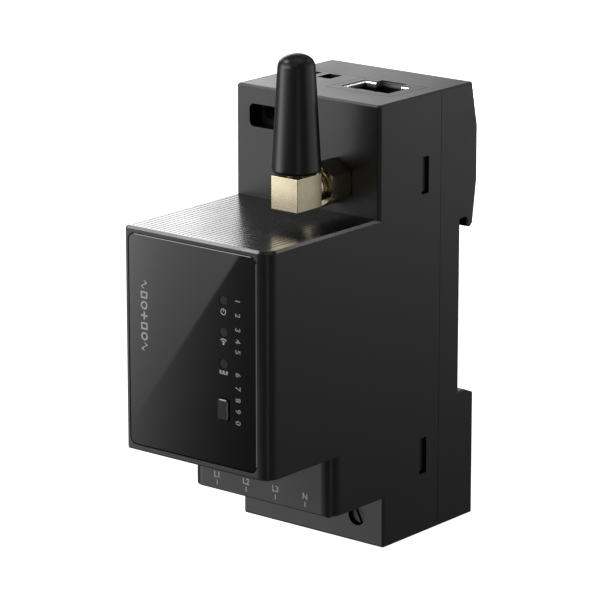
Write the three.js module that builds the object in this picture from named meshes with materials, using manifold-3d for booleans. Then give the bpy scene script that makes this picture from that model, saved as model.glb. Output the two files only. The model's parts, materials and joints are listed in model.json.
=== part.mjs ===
// Smart electric meter for a 35 mm rail: two modules wide, with a screw-on angled antenna.
// Millimetres. +X is to the right, -Y is to the front, +Z is up.
// The origin is the middle of the flat face that rests on the rail.
import * as THREE from 'three';
import { mergeVertices } from 'three/addons/utils/BufferGeometryUtils.js';
import Module from 'manifold-3d';

const wasm = await Module();
wasm.setup();

// ---- Driving dimensions: housing ----
const bodyWidth = 36; // two modules of 18 mm
const bodyHeight = 90;
const windowHeight = 45; // the raised front box, centred on the rail
const ledgeHeight = 12.1; // label ledge under the front box
const frontDepth = 60; // every depth is measured forward from the rail face
const ledgeDepth = 40.7;
const upperDepth = 26.2;
const lowerDepth = 24.4;
const seamDepth = 6.5; // joint between the front shell and the rear base
const lowerBack = 5; // how far the base reaches behind the rail face
const upperBack = 5.45;
const wall = 2;
const backWall = 2;
const seamGap = 0.1;
const fit = 0.3; // gap between pieces that interlock
const seat = 0.05; // gap between pieces that rest on each other

const side = bodyWidth / 2;
const top = bodyHeight / 2;
const bottom = -top;
const deck = windowHeight / 2;
const ledgeBottom = -deck - ledgeHeight;
const floor = bottom + wall;
const ceiling = top - wall;
const upperInside = upperDepth - wall;

// ---- Rail interface ----
const railHeight = 35;
const railSheet = 1;
const hookGap = 0.3; // above the rail's upper edge
const jawGap = 0.64; // below its lower edge
const hookGroove = 2.4; // width of the groove that takes the rail's edge
const jaw = -railHeight / 2 - jawGap;
const hookTop = railHeight / 2 + hookGap;

// ---- Snap joints between the shells ----
const snapHeight = top - 16.2; // their middles, above and below the rail
const snapWindow = { depth: seamDepth + 5.1, width: 2.35, height: 7.5 };
const snapTongue = { thickness: 1.3, reach: snapWindow.depth + 3.4, root: 3, side: 0.35 };
const tongueInside = side - wall - snapTongue.side - snapTongue.thickness;

// ---- Front panel, lamps and button ----
const panelMargin = { left: 1, right: 2.8, ends: 1.2 };
const panelThickness = 1;
const panelRadius = 1.6;
const indicatorColumn = side - 11;
const lampRadius = 1;
const lampHeights = [11.6, 5.35, -0.9];
const button = { height: -9.9, width: 2.5, length: 4.1, proud: 0.5, travel: 0.4, gap: 0.15, round: 0.3 };
const boardThickness = 1.6;
const frontBoardDepth = frontDepth - 6.2; // its front face

// ---- Boards ----
const mainBoardBack = backWall + 0.8;
const mainBoardFront = mainBoardBack + boardThickness;
const mainBoardHalf = tongueInside - 0.15;
const mainBoardBottom = floor + 7;
const riserBack = mainBoardFront + 3.6;
const riserLeft = -mainBoardHalf - 0.4;
const riserHalf = 20;
const radioFront = upperInside - 2.7;
const radioThickness = 1.2;
const boardScrew = { shank: 0.85, head: 1.7, headLength: 1.3, boss: 2.2, depth: 0.6 };
const slot = { half: 0.3, depth: 0.6, reach: 3 }; // the driver slot in every screw head
const boardScrewSpots = [[2.7 - mainBoardHalf, 20], [mainBoardHalf - 2.7, -12]];

// ---- Mains terminals, in the bottom block ----
const terminalPitch = 7.5;
const terminalCount = 4;
const varistorCount = 3;
const mainsTravel = 3.4;
const mainsCage = {
  front: lowerDepth - wall - mainsTravel - 0.1,
  length: 8.3,
  wall: 0.8,
  inner: terminalPitch / 2 - 1.35, // leaves room for the wall, a gap and half a rib
  half: 2.6,
};
const mains = {
  axis: floor + 3.5, // height of the screws
  wires: -1, // wires come in from below
  screw: 1.45,
  head: 1.9,
  headFront: lowerDepth - 0.8,
  headBack: lowerDepth - wall + 0.1,
  bar: {
    front: mainsCage.front - 1.9,
    thickness: 1,
    half: mainsCage.inner - 0.4,
    end: 2.7,
    leg: floor + 10,
  },
  cage: mainsCage,
};
const mainsHole = mains.head + 0.15; // radius of the screwdriver holes

// ---- Signal terminals, behind the window of the upper block ----
const signalPitch = 5.08;
const signalMiddle = 8 - side;
const signalTravel = 2;
const signalEntry = { width: 3.3, front: mainBoardFront + 7.5, back: mainBoardFront + 3.4 };
const signalWindow = { width: 9.3, height: 4.65, radius: 1 };
const signalBlockFront = upperInside - 2.2;
const signalBlockBottom = top - 12.4;
const signalCage = { front: mainBoardFront + 10.6, length: 7.8, wall: 0.45, inner: 1.65, half: 1.7 };
const signal = {
  axis: top - 6,
  wires: 1, // wires come in from above
  screw: 1.1,
  head: 1.4,
  headFront: signalBlockFront - 0.6,
  headBack: signalBlockFront - 1.8,
  bar: { front: signalCage.front - 2.3, thickness: 0.6, half: 1.2, end: 2, leg: top - 10.6 },
  cage: signalCage,
};

// ---- Data socket in the top face ----
const socket = {
  middle: tongueInside - 8.05, // its body stands 0.15 clear of the snap tongue
  width: 11.6,
  front: mainBoardFront + 11.55,
  back: mainBoardFront + 4.05,
  keyWidth: 7,
  keyBack: mainBoardFront + 1.9,
  liner: 0.3,
  height: 18.8,
  floor: 3.8,
  bodyHalf: 7.9,
  bodyFront: mainBoardFront + 13.8,
};
const socketTop = top - 0.2;
const socketBottom = socketTop - socket.height;
const socketGap = 0.1; // round the socket in the roof
const contactCount = 8;
const contactPitch = 1.02;

// ---- Antenna, forward from the upper block ----
const antennaX = side - 10.9;
const antennaZ = deck + 6.35;
const jack = { radius: 3.05, reach: 4.4, flange: 1.6, flangeHalf: 4 };
const nut = { length: 5.9, flats: 8, bore: jack.radius + 0.25, collar: 2.6, lip: 0.8 };
const ring = { length: 2.05, radius: 3.1 };
const elbow = { length: 7.4, width: 6.6, height: 6.7, neck: 2.35 };
const spigot = { radius: 2.2, length: 4 };
const whip = { lift: 0.4, foot: 4.8, shoulder: 3.65, straight: 21, dome: 2.2, round: 0.8 };
const jackEnd = upperDepth + jack.reach;
const nutBack = upperDepth + 0.1;
const nutFront = nutBack + nut.length;
const ringFront = nutFront + 0.15 + ring.length;
const elbowBack = ringFront + 0.1;
const elbowFront = elbowBack + elbow.length;

// ---- Rail clip ----
const clip = { half: 7, front: railSheet + 0.1, thickness: 2.4, tail: 3, hook: 1.1 };
const clipBack = clip.front + clip.thickness;
const clipWindow = { half: 1.6, top: bottom + 16 };
const clipStop = { half: 1.2, top: bottom + 5.7, height: 1.2 };
const spring = { wire: 0.22, radius: 1, turns: 7, steps: 12 };

// ---- Finishes ----
const plastic = { color: 0x242424, roughness: 0.55, metalness: 0 };
const gloss = { color: 0x08080a, roughness: 0.08, metalness: 0 };
const brass = { color: 0xd8c796, roughness: 0.25, metalness: 1 };
const steel = { color: 0xb9bcc0, roughness: 0.35, metalness: 1 };
const zinc = { color: 0xc6c8c6, roughness: 0.3, metalness: 1 };
const rubber = { color: 0x131313, roughness: 0.6, metalness: 0 };
const laminate = { color: 0x1d5a36, roughness: 0.5, metalness: 0 };
const clear = { color: 0x9a9a98, roughness: 0.3, metalness: 0 };
const copper = { color: 0xc98f5a, roughness: 0.35, metalness: 1 };
const black = { color: 0x161616, roughness: 0.5, metalness: 0 };
const blue = { color: 0x24509c, roughness: 0.45, metalness: 0 };
const yellow = { color: 0xc9a227, roughness: 0.5, metalness: 0 };

// ---- Solids ----
const axisX = new THREE.Vector3(1, 0, 0);
const axisY = new THREE.Vector3(0, 1, 0);
const axisZ = new THREE.Vector3(0, 0, 1);
const acrossX = new THREE.Matrix4().makeBasis(axisY, axisZ, axisX);
const towardFront = new THREE.Matrix4().makeBasis(axisX, axisZ, axisY.clone().negate());

// A closed geometry as a solid that can be joined and cut.
function solid(geometry) {
  geometry.deleteAttribute('normal');
  geometry.deleteAttribute('uv');
  const merged = mergeVertices(geometry, 1e-4);
  const corners = merged.index.array;
  const triangles = [];
  for (let i = 0; i < corners.length; i += 3) {
    const [a, b, c] = [corners[i], corners[i + 1], corners[i + 2]];
    if (a !== b && b !== c && c !== a) triangles.push(a, b, c);
  }
  return new wasm.Manifold(new wasm.Mesh({
    numProp: 3,
    vertProperties: Float32Array.from(merged.attributes.position.array),
    triVerts: Uint32Array.from(triangles),
  }));
}

function join(...solids) {
  return solids.reduce((whole, one) => whole.add(one));
}

function cut(whole, ...tools) {
  return tools.reduce((rest, tool) => rest.subtract(tool), whole);
}

function block([x0, x1], [y0, y1], [z0, z1]) {
  const geometry = new THREE.BoxGeometry(x1 - x0, y1 - y0, z1 - z0);
  return solid(geometry.translate((x0 + x1) / 2, (y0 + y1) / 2, (z0 + z1) / 2));
}

// A block given by its middle and half size in X, and by two depths to the front.
function blockAt(x, half, frontward, backward, [z0, z1]) {
  return block([x - half, x + half], [-frontward, -backward], [z0, z1]);
}

function extruded(shape, depth, smooth) {
  return new THREE.ExtrudeGeometry(shape, { depth, bevelEnabled: false, curveSegments: smooth });
}

// Drawn in X and Y, raised along Z.
function prismZ(shape, [z0, z1], smooth = 6) {
  return solid(extruded(shape, z1 - z0, smooth).translate(0, 0, z0));
}

// Drawn in X and Z, with its two depths to the front.
function prismY(shape, frontward, backward, smooth = 6) {
  const geometry = extruded(shape, frontward - backward, smooth).applyMatrix4(towardFront);
  return solid(geometry.translate(0, -backward, 0));
}

// Drawn in Y and Z, drawn out along X.
function prismX(shape, [x0, x1], smooth = 6) {
  return solid(extruded(shape, x1 - x0, smooth).applyMatrix4(acrossX).translate(x0, 0, 0));
}

// A rod along Y between two depths to the front.
function rodY(radius, frontward, backward, x, z, sides = 24) {
  const geometry = new THREE.CylinderGeometry(radius, radius, frontward - backward, sides);
  return solid(geometry.translate(x, -(frontward + backward) / 2, z));
}

// A turned solid along Y. Its profile holds radii and depths to the front, front end first.
function turnedY(profile, x, z, sides = 24) {
  const points = profile.map(([radius, depth]) => new THREE.Vector2(radius, -depth));
  return solid(new THREE.LatheGeometry(points, sides).translate(x, 0, z));
}

// A turned solid along Z. Its profile holds radii and heights, lower end first.
function turnedZ(profile, x, y, sides = 24) {
  const points = profile.map(([radius, height]) => new THREE.Vector2(radius, height));
  const geometry = new THREE.LatheGeometry(points, sides).rotateX(Math.PI / 2);
  return solid(geometry.translate(x, y, 0));
}

// A rectangle with a radius for each corner: low-low, high-low, high-high, low-high.
function rounded([x0, x1], [y0, y1], [a, b, c, d]) {
  const quarter = Math.PI / 2;
  const shape = new THREE.Shape();
  shape.moveTo(x0 + a, y0);
  shape.lineTo(x1 - b, y0);
  if (b > 0) shape.absarc(x1 - b, y0 + b, b, -quarter, 0, false);
  shape.lineTo(x1, y1 - c);
  if (c > 0) shape.absarc(x1 - c, y1 - c, c, 0, quarter, false);
  shape.lineTo(x0 + d, y1);
  if (d > 0) shape.absarc(x0 + d, y1 - d, d, quarter, 2 * quarter, false);
  shape.lineTo(x0, y0 + a);
  if (a > 0) shape.absarc(x0 + a, y0 + a, a, 2 * quarter, 3 * quarter, false);
  shape.closePath();
  return shape;
}

function outline(points) {
  return new THREE.Shape(points.map(([a, b]) => new THREE.Vector2(a, b)));
}

// ---- The assembly ----
const meter = new THREE.Group();

function add(name, body, finish) {
  const { vertProperties, triVerts } = body.getMesh();
  const geometry = new THREE.BufferGeometry();
  geometry.setAttribute('position', new THREE.BufferAttribute(vertProperties, 3));
  geometry.setIndex(new THREE.BufferAttribute(triVerts, 1));
  geometry.computeVertexNormals();
  const mesh = new THREE.Mesh(geometry, new THREE.MeshStandardMaterial(finish));
  mesh.name = name;
  meter.add(mesh);
}

// ---- Shared outlines ----

// The four stacked steps of the front shell, as solids drawn in by an inset.
function steppedBody(inset) {
  const steps = [
    { depth: frontDepth, low: -deck, high: deck, left: 0.8, right: panelMargin.right },
    { depth: upperDepth, low: 0, high: top, left: 0.8, right: 0.8 },
    { depth: ledgeDepth, low: ledgeBottom, high: 0, left: 2.9, right: 2.9 },
    { depth: lowerDepth, low: bottom, high: 0, left: 1.5, right: 1.5 },
  ];
  const solids = steps.map((step) => {
    const corners = [step.left, step.right].map((radius) => Math.max(radius - inset, 0));
    const shape = rounded([inset - side, side - inset], [inset - step.depth, -seamDepth], [...corners, 0, 0]);
    const low = step.low === 0 ? 0 : step.low + inset;
    const high = step.high === 0 ? 0 : step.high - inset;
    return prismZ(shape, [low, high]);
  });
  return join(...solids);
}

function panelOutline(grow) {
  const across = [panelMargin.left - side - grow, side - panelMargin.right + grow];
  const half = deck - panelMargin.ends + grow;
  return rounded(across, [-half, half], Array(4).fill(panelRadius + grow));
}

function buttonOutline(grow) {
  const halfWidth = button.width / 2 + grow;
  const halfLength = button.length / 2 + grow;
  const across = [indicatorColumn - halfWidth, indicatorColumn + halfWidth];
  const upright = [button.height - halfLength, button.height + halfLength];
  return rounded(across, upright, Array(4).fill(button.round + grow));
}

// The outline of a data plug with its key, as a solid between two heights.
function plugSpace(grow, heights) {
  const { middle, front, back, keyBack } = socket;
  const body = blockAt(middle, socket.width / 2 + grow, front + grow, back - grow, heights);
  const key = blockAt(middle, socket.keyWidth / 2 + grow, back + 1, keyBack - grow, heights);
  return join(body, key);
}

// The opening in the roof round the socket, between two depths to the front.
function socketRelief(frontward, backward) {
  return blockAt(socket.middle, socket.bodyHalf + socketGap, frontward, backward, [ceiling - 1, top + 1]);
}

const terminalColumns = Array.from(
  { length: terminalCount },
  (_, i) => (i - (terminalCount - 1) / 2) * terminalPitch,
);
const signalColumns = [signalMiddle - signalPitch / 2, signalMiddle + signalPitch / 2];

// ---- Front shell ----

function frontHousing() {
  const past = 1; // how far a cutting block passes the surface that it cuts
  const seam = block(
    [-side - past, side + past],
    [-seamDepth - seamGap / 2, -seamDepth + past],
    [bottom - past, top + past],
  );
  const cavity = join(
    steppedBody(wall),
    block([wall - side, side - wall], [-seamDepth - 1, -seamDepth + 1], [floor, ceiling]),
  );
  const shell = cut(steppedBody(0), cavity, seam);
  const ribs = terminalColumns.slice(1).map((x) => {
    const middle = x - terminalPitch / 2;
    return blockAt(middle, 0.3, lowerDepth - wall + 0.5, seamDepth + 0.5, [floor - 0.5, mains.axis + 4.3]);
  });
  const front = frontDepth + 1;
  const behindPanel = frontDepth - wall - 1;
  const lampHoles = lampHeights.map((z) => rodY(lampRadius + 0.1, front, behindPanel, indicatorColumn, z));
  const sideWindows = [-1, 1].map((up) => block(
    [-side - 1, side + 1],
    [-snapWindow.depth - snapWindow.width / 2, -snapWindow.depth + snapWindow.width / 2],
    [up * snapHeight - snapWindow.height / 2, up * snapHeight + snapWindow.height / 2],
  ));
  const driverHoles = terminalColumns.map(
    (x) => rodY(mainsHole, lowerDepth + 1, lowerDepth - wall - 1, x, mains.axis),
  );
  const { bar, cage } = mains;
  const entryFront = bar.front - bar.thickness + 0.1;
  const entryBack = cage.front - cage.length + cage.wall - 0.1;
  const wireEntries = terminalColumns.map(
    (x) => blockAt(x, cage.inner, entryFront, entryBack, [bottom - 1, floor + 1]),
  );
  const signalEntries = signalColumns.map((x) => blockAt(
    x, signalEntry.width / 2, signalEntry.front, signalEntry.back, [ceiling - 1, top + 1],
  ));
  const halfWindow = signalWindow.width / 2;
  const signalFace = rounded(
    [signalMiddle - halfWindow, signalMiddle + halfWindow],
    [signal.axis - signalWindow.height / 2, signal.axis + signalWindow.height / 2],
    Array(4).fill(signalWindow.radius),
  );
  return cut(
    join(shell, ...ribs),
    prismY(panelOutline(seat), front, frontDepth - panelThickness),
    prismY(buttonOutline(button.gap), front, behindPanel, 3),
    ...lampHoles,
    ...sideWindows,
    ...driverHoles,
    ...wireEntries,
    ...signalEntries,
    prismY(signalFace, upperDepth + 1, upperInside - 1),
    rodY(jack.radius + fit, upperDepth + 1, upperInside - 1, antennaX, antennaZ),
    socketRelief(socket.bodyFront + socketGap, seamDepth - 1),
  );
}

add('front_housing', frontHousing(), plastic);

// ---- Rear base with the rail hook ----

function rearBase() {
  const front = -seamDepth + seamGap / 2;
  const profile = outline([
    [front, bottom],
    [lowerBack, bottom],
    [lowerBack, jaw - 1.12],
    [2.3, jaw],
    [0, jaw],
    [0, hookTop - 0.2],
    [hookGroove - 0.6, hookTop],
    [hookGroove, hookTop - 0.5],
    [hookGroove, hookTop - 2],
    [hookGroove + 0.9, hookTop - 2.3],
    [hookGroove + 1.8, hookTop - 1.6],
    [upperBack, hookTop + 7.3],
    [upperBack, top - 9],
    [upperBack - 1.8, top],
    [front, top],
  ]);
  const inside = [wall - side, side - wall];
  const tray = block(inside, [-seamDepth - 1, -backWall], [floor, ceiling]);
  const upperPocket = block(inside, [-seamDepth - 1, upperBack - 2.2], [hookTop + wall, ceiling]);
  const channel = block(
    [-clip.half - fit, clip.half + fit],
    [clip.front - fit, clipBack + fit],
    [bottom - 1, jaw + 1],
  );
  const stop = block(
    [-clipStop.half, clipStop.half],
    [clip.front - fit - 0.5, clipBack + fit + 0.5],
    [clipStop.top - clipStop.height, clipStop.top],
  );
  const bosses = boardScrewSpots.map(
    ([x, z]) => rodY(boardScrew.boss, mainBoardBack - seat, backWall - 0.5, x, z),
  );
  const threads = boardScrewSpots.map(
    ([x, z]) => rodY(boardScrew.shank + 0.1, seamDepth, boardScrew.depth - 0.1, x, z),
  );
  const tongues = [];
  for (const across of [-1, 1]) {
    for (const up of [-1, 1]) tongues.push(snapTongueAt(across, up));
  }
  const relief = socketRelief(seamDepth + 1, mainBoardFront - seat);
  const tub = cut(prismX(profile, [-side, side]), tray, upperPocket, relief, channel);
  return cut(join(tub, stop, ...bosses, ...tongues), ...threads);
}

// One snap tongue: a root on the base's side wall, a springy arm and a hook in the shell's window.
function snapTongueAt(across, up) {
  const outer = tongueInside + snapTongue.thickness;
  const half = snapWindow.height / 2 - 0.35;
  const heights = [up * snapHeight - half, up * snapHeight + half];
  const mirrored = (low, high) => [low * across, high * across].sort((a, b) => a - b);
  const arm = block(mirrored(tongueInside, outer), [-snapTongue.reach, -snapTongue.root], heights);
  const rootDepths = [-seamDepth + fit, -snapTongue.root];
  const root = block(mirrored(tongueInside, side - wall + 0.5), rootDepths, heights);
  const hookHalf = snapWindow.width / 2 - 0.2;
  const hook = block(
    mirrored(outer - 0.2, side - 0.7),
    [-snapWindow.depth - hookHalf, -snapWindow.depth + hookHalf],
    heights,
  );
  return join(arm, root, hook);
}

add('rear_base', rearBase(), plastic);

// ---- Rail clip and its spring ----

function railClip() {
  const tip = -railHeight / 2 + clip.hook;
  const profile = outline([
    [clip.front, bottom - clip.tail],
    [clipBack, bottom - clip.tail],
    [clipBack, tip - 1.4],
    [clipBack - 1.4, tip],
    [clip.front, tip],
  ]);
  const window = block(
    [-clipWindow.half, clipWindow.half],
    [clip.front - 1, clipBack + 1],
    [clipStop.top - clipStop.height - fit, clipWindow.top],
  );
  const pullSlot = block([-2, 2], [clip.front - 1, clipBack + 1], [bottom - clip.tail + 0.8, bottom - 0.9]);
  return cut(prismX(profile, [-clip.half, clip.half]), window, pullSlot);
}

add('rail_clip', railClip(), plastic);

function clipSpring() {
  const low = clipStop.top + spring.wire + seat;
  const high = clipWindow.top - spring.wire - seat;
  const middle = (clip.front + clipBack) / 2;
  const points = [];
  const count = spring.turns * spring.steps;
  for (let i = 0; i <= count; i += 1) {
    const angle = (i / spring.steps) * 2 * Math.PI;
    const height = low + (high - low) * (i / count);
    const x = spring.radius * Math.cos(angle);
    const y = middle + spring.radius * Math.sin(angle);
    points.push(new THREE.Vector3(x, y, height));
  }
  const section = new THREE.Shape().absarc(0, 0, spring.wire, 0, 2 * Math.PI, false);
  return solid(new THREE.ExtrudeGeometry(section, {
    steps: count,
    curveSegments: 3,
    bevelEnabled: false,
    extrudePath: new THREE.CatmullRomCurve3(points),
  }));
}

add('clip_spring', clipSpring(), steel);

// ---- Front panel, lamps and button ----

function frontPanel() {
  const [front, back] = [frontDepth + 1, frontDepth - panelThickness - 1];
  const plate = prismY(panelOutline(0), frontDepth, frontDepth - panelThickness + seat);
  const lamps = lampHeights.map((z) => rodY(lampRadius + seat, front, back, indicatorColumn, z));
  return cut(plate, prismY(buttonOutline(button.gap), front, back, 3), ...lamps);
}

add('front_panel', frontPanel(), gloss);

const lampTop = frontBoardDepth + 0.9;
lampHeights.forEach((z, i) => {
  const flangeFront = frontDepth - wall - seat;
  const pipe = join(
    rodY(lampRadius, frontDepth - seat, lampTop + seat, indicatorColumn, z),
    rodY(lampRadius + 0.5, flangeFront, flangeFront - 0.8, indicatorColumn, z),
  );
  const lamp = blockAt(indicatorColumn, 0.8, lampTop, frontBoardDepth + seat, [z - 0.6, z + 0.6]);
  add(`light_pipe_${i + 1}`, pipe, clear);
  add(`led_${i + 1}`, lamp, clear);
});

// The button's cap shows, its flange stays behind the wall and its stem meets the switch.
const switchTop = frontBoardDepth + 1.8;
const plungerTop = switchTop + 0.7;
const plungerRadius = 0.8;

function resetButton() {
  const flangeFront = frontDepth - wall - 0.1;
  const flangeBack = flangeFront - 0.8;
  return join(
    prismY(buttonOutline(0), frontDepth + button.proud, flangeBack, 3),
    prismY(buttonOutline(0.6), flangeFront, flangeBack, 3),
    rodY(plungerRadius, flangeBack + 0.2, plungerTop + seat, indicatorColumn, button.height, 16),
  );
}

add('reset_button', resetButton(), gloss);

function tactSwitch() {
  const half = 2.25;
  const heights = [button.height - half, button.height + half];
  const body = blockAt(indicatorColumn, half, switchTop, frontBoardDepth + seat, heights);
  const well = rodY(plungerRadius + 0.1, switchTop + 1, switchTop - 1.4, indicatorColumn, button.height, 16);
  return cut(body, well);
}

add('tact_switch', tactSwitch(), black);
add(
  'switch_plunger',
  rodY(plungerRadius, plungerTop, switchTop - 1.4 + button.travel + 0.2, indicatorColumn, button.height, 16),
  black,
);

// ---- Screw terminals ----

// The slot for a flat driver in the head of a screw.
function driverSlot(x, z, headFront) {
  return blockAt(x, slot.half, headFront + 1, headFront - slot.depth, [z - slot.reach, z + slot.reach]);
}

// A slotted screw along Y. Its head faces the front and its tip meets the bar.
function clampScrew(kind, x) {
  return cut(
    join(
      rodY(kind.head, kind.headFront, kind.headBack, x, kind.axis, 20),
      rodY(kind.screw, kind.headBack + 0.1, kind.bar.front + seat, x, kind.axis, 16),
    ),
    driverSlot(x, kind.axis, kind.headFront),
  );
}

// The rising cage: a ring whose hole lets the wire through, threaded onto the screw.
function clampCage(kind, x) {
  const { front, inner, half } = kind.cage;
  const back = front - kind.cage.length;
  const ringHeights = [kind.axis - half, kind.axis + half];
  const holeHeights = [kind.axis - half - 1, kind.axis + half + 1];
  return cut(
    blockAt(x, inner + kind.cage.wall, front, back, ringHeights),
    blockAt(x, inner, front - kind.cage.wall, back + kind.cage.wall, holeHeights),
    rodY(kind.screw + 0.1, front + 1, front - kind.cage.wall - 0.5, x, kind.axis, 16),
  );
}

// The fixed bar: a tongue through the cage with a leg back to the board.
function clampBar(kind, x) {
  const { front, thickness, half, end, leg } = kind.bar;
  const free = kind.axis + kind.wires * end;
  const back = mainBoardFront + seat;
  const tongue = blockAt(x, half, front, front - thickness, [Math.min(free, leg), Math.max(free, leg)]);
  const foot = [leg, leg + kind.wires * thickness].sort((a, b) => a - b);
  return join(tongue, blockAt(x, half, front, back, foot));
}

terminalColumns.forEach((x, i) => {
  add(`terminal_screw_${i + 1}`, clampScrew(mains, x), zinc);
  add(`terminal_cage_${i + 1}`, clampCage(mains, x), zinc);
  add(`terminal_bar_${i + 1}`, clampBar(mains, x), copper);
});

signalColumns.forEach((x, i) => {
  add(`signal_screw_${i + 1}`, clampScrew(signal, x), zinc);
  add(`signal_cage_${i + 1}`, clampCage(signal, x), zinc);
  add(`signal_bar_${i + 1}`, clampBar(signal, x), copper);
});

function signalBody() {
  const { bar, cage } = signal;
  const blockTop = ceiling - seat;
  const back = mainBoardFront + seat;
  const chamberBack = cage.front - cage.length - 0.15;
  const body = blockAt(signalMiddle, signalPitch, signalBlockFront, back, [signalBlockBottom, blockTop]);
  const spaces = signalColumns.map((x) => join(
    rodY(signal.head + 0.15, signalBlockFront + 1, cage.front, x, signal.axis, 20),
    blockAt(x, cage.inner + cage.wall + 0.15, cage.front + signalTravel + 0.2, chamberBack, [
      signal.axis - cage.half - fit,
      signal.axis + cage.half + fit,
    ]),
    blockAt(x, signalEntry.width / 2 - 0.05, signalEntry.front - 0.1, signalEntry.back + 0.1, [
      signal.axis,
      blockTop + 1,
    ]),
    blockAt(x, bar.half + 0.15, bar.front + 0.15, bar.front - bar.thickness - 0.15, [
      bar.leg - 0.15,
      signal.axis + bar.end + 0.15,
    ]),
    blockAt(x, bar.half + 0.15, bar.front + 0.15, back - 1, [bar.leg - 0.15, bar.leg + bar.thickness + 0.15]),
  ));
  return cut(body, ...spaces);
}

add('signal_block', signalBody(), black);

// ---- Data socket ----

const socketFloor = socketBottom + socket.floor;

function socketBody() {
  const heights = [socketBottom, socketTop];
  const body = blockAt(socket.middle, socket.bodyHalf, socket.bodyFront, mainBoardFront + seat, heights);
  return cut(body, plugSpace(socket.liner + seat, [socketFloor, socketTop + 1]));
}

function socketLiner() {
  const low = socketFloor + seat;
  return cut(plugSpace(socket.liner, [low, socketTop]), plugSpace(0, [low - 1, socketTop + 1]));
}

function socketContacts() {
  const back = socket.front - 0.9;
  const carrier = blockAt(socket.middle, socket.width / 2 - 0.2, socket.front - seat, back, [
    socketFloor + 0.1,
    socketFloor + 3,
  ]);
  const fingers = Array.from({ length: contactCount }, (_, i) => {
    const x = socket.middle + (i - (contactCount - 1) / 2) * contactPitch;
    return blockAt(x, 0.22, socket.front - 0.2, socket.front - 0.6, [socketFloor + 2, socketTop - 3]);
  });
  return join(carrier, ...fingers);
}

add('socket_body', socketBody(), black);
add('socket_shield', socketLiner(), steel);
add('socket_contacts', socketContacts(), brass);

// ---- Antenna ----

const elbowMiddle = (elbowFront + elbowBack) / 2;
const elbowTop = antennaZ + elbow.height / 2;

function antennaJack() {
  const half = jack.flangeHalf;
  const flangeBack = upperInside - jack.flange;
  return join(
    blockAt(antennaX, half, upperInside - seat, flangeBack, [antennaZ - half, antennaZ + half]),
    rodY(jack.radius, jackEnd, flangeBack + 0.5, antennaX, antennaZ, 32),
    rodY(0.6, flangeBack + 0.5, radioFront + seat, antennaX, antennaZ, 12),
  );
}

function antennaNut() {
  const corner = nut.flats / Math.sqrt(3);
  const chamfer = corner - nut.flats / 2;
  const hexagon = new THREE.CylinderGeometry(corner, corner, nut.length, 6);
  const prism = solid(hexagon.translate(antennaX, -(nutFront + nutBack) / 2, antennaZ));
  const turned = turnedY([
    [0, nutFront],
    [nut.flats / 2, nutFront],
    [corner, nutFront - chamfer],
    [corner, nutBack + chamfer],
    [nut.flats / 2, nutBack],
    [0, nutBack],
  ], antennaX, antennaZ, 36);
  return cut(
    prism.intersect(turned),
    rodY(nut.bore, nutFront - nut.lip, nutBack - 1, antennaX, antennaZ, 32),
    rodY(nut.collar, nutFront + 1, nutBack, antennaX, antennaZ, 32),
  );
}

// The square brass elbow, its neck into the nut and its spigot up into the whip.
function antennaElbow() {
  const flangeFront = nutFront - nut.lip - 0.1;
  const half = elbow.height / 2;
  return join(
    blockAt(antennaX, elbow.width / 2, elbowFront, elbowBack, [antennaZ - half, antennaZ + half]),
    rodY(elbow.neck, elbowBack + 0.5, jackEnd + 0.1, antennaX, antennaZ),
    rodY(nut.bore - 0.3, flangeFront, jackEnd + 0.1, antennaX, antennaZ),
    turnedZ([
      [0, elbowTop - 0.5],
      [spigot.radius, elbowTop - 0.5],
      [spigot.radius, elbowTop + spigot.length],
      [0, elbowTop + spigot.length],
    ], antennaX, -elbowMiddle),
  );
}

function antennaRing() {
  return cut(
    rodY(ring.radius, ringFront, nutFront + 0.15, antennaX, antennaZ, 32),
    rodY(elbow.neck + seat, ringFront + 1, nutFront - 1, antennaX, antennaZ, 32),
  );
}

function antennaWhip() {
  const foot = elbowTop + whip.lift;
  const shoulder = foot + whip.straight;
  const bore = spigot.radius + 0.1;
  const roof = elbowTop + spigot.length + 0.1;
  const domeSteps = 5;
  const dome = Array.from({ length: domeSteps + 1 }, (_, i) => {
    const angle = (i / domeSteps) * Math.PI / 2;
    return [whip.shoulder * Math.cos(angle), shoulder + whip.dome * Math.sin(angle)];
  });
  dome[domeSteps][0] = 0;
  return turnedZ([
    [0, roof],
    [bore, roof],
    [bore, foot],
    [whip.foot - whip.round, foot],
    [whip.foot - whip.round * 0.3, foot + whip.round * 0.3],
    [whip.foot, foot + whip.round],
    ...dome,
  ], antennaX, -elbowMiddle, 32);
}

add('antenna_jack', antennaJack(), brass);
add('antenna_nut', antennaNut(), brass);
add('antenna_ring', antennaRing(), brass);
add('antenna_elbow', antennaElbow(), brass);
add('antenna_whip', antennaWhip(), rubber);

// ---- Boards ----

function mainBoardBody() {
  const heights = [mainBoardBottom, ceiling - 0.5];
  const sheet = blockAt(0, mainBoardHalf, mainBoardFront, mainBoardBack, heights);
  return cut(sheet, ...boardScrewSpots.map(([x, z]) => rodY(boardScrew.shank + 0.2, seamDepth, 1, x, z)));
}

add('main_board', mainBoardBody(), laminate);
boardScrewSpots.forEach(([x, z], i) => {
  const headBack = mainBoardFront + seat;
  const headFront = headBack + boardScrew.headLength;
  const screw = join(
    rodY(boardScrew.head, headFront, headBack, x, z, 20),
    rodY(boardScrew.shank, headBack + 0.1, boardScrew.depth, x, z, 16),
  );
  add(`board_screw_${i + 1}`, cut(screw, driverSlot(x, z, headFront)), zinc);
});

const frontBoardBack = frontBoardDepth - boardThickness;
const frontBoardHalf = deck - wall - 0.5;
add(
  'front_board',
  blockAt(0, side - wall - 0.5, frontBoardDepth, frontBoardBack, [-frontBoardHalf, frontBoardHalf]),
  laminate,
);

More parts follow.
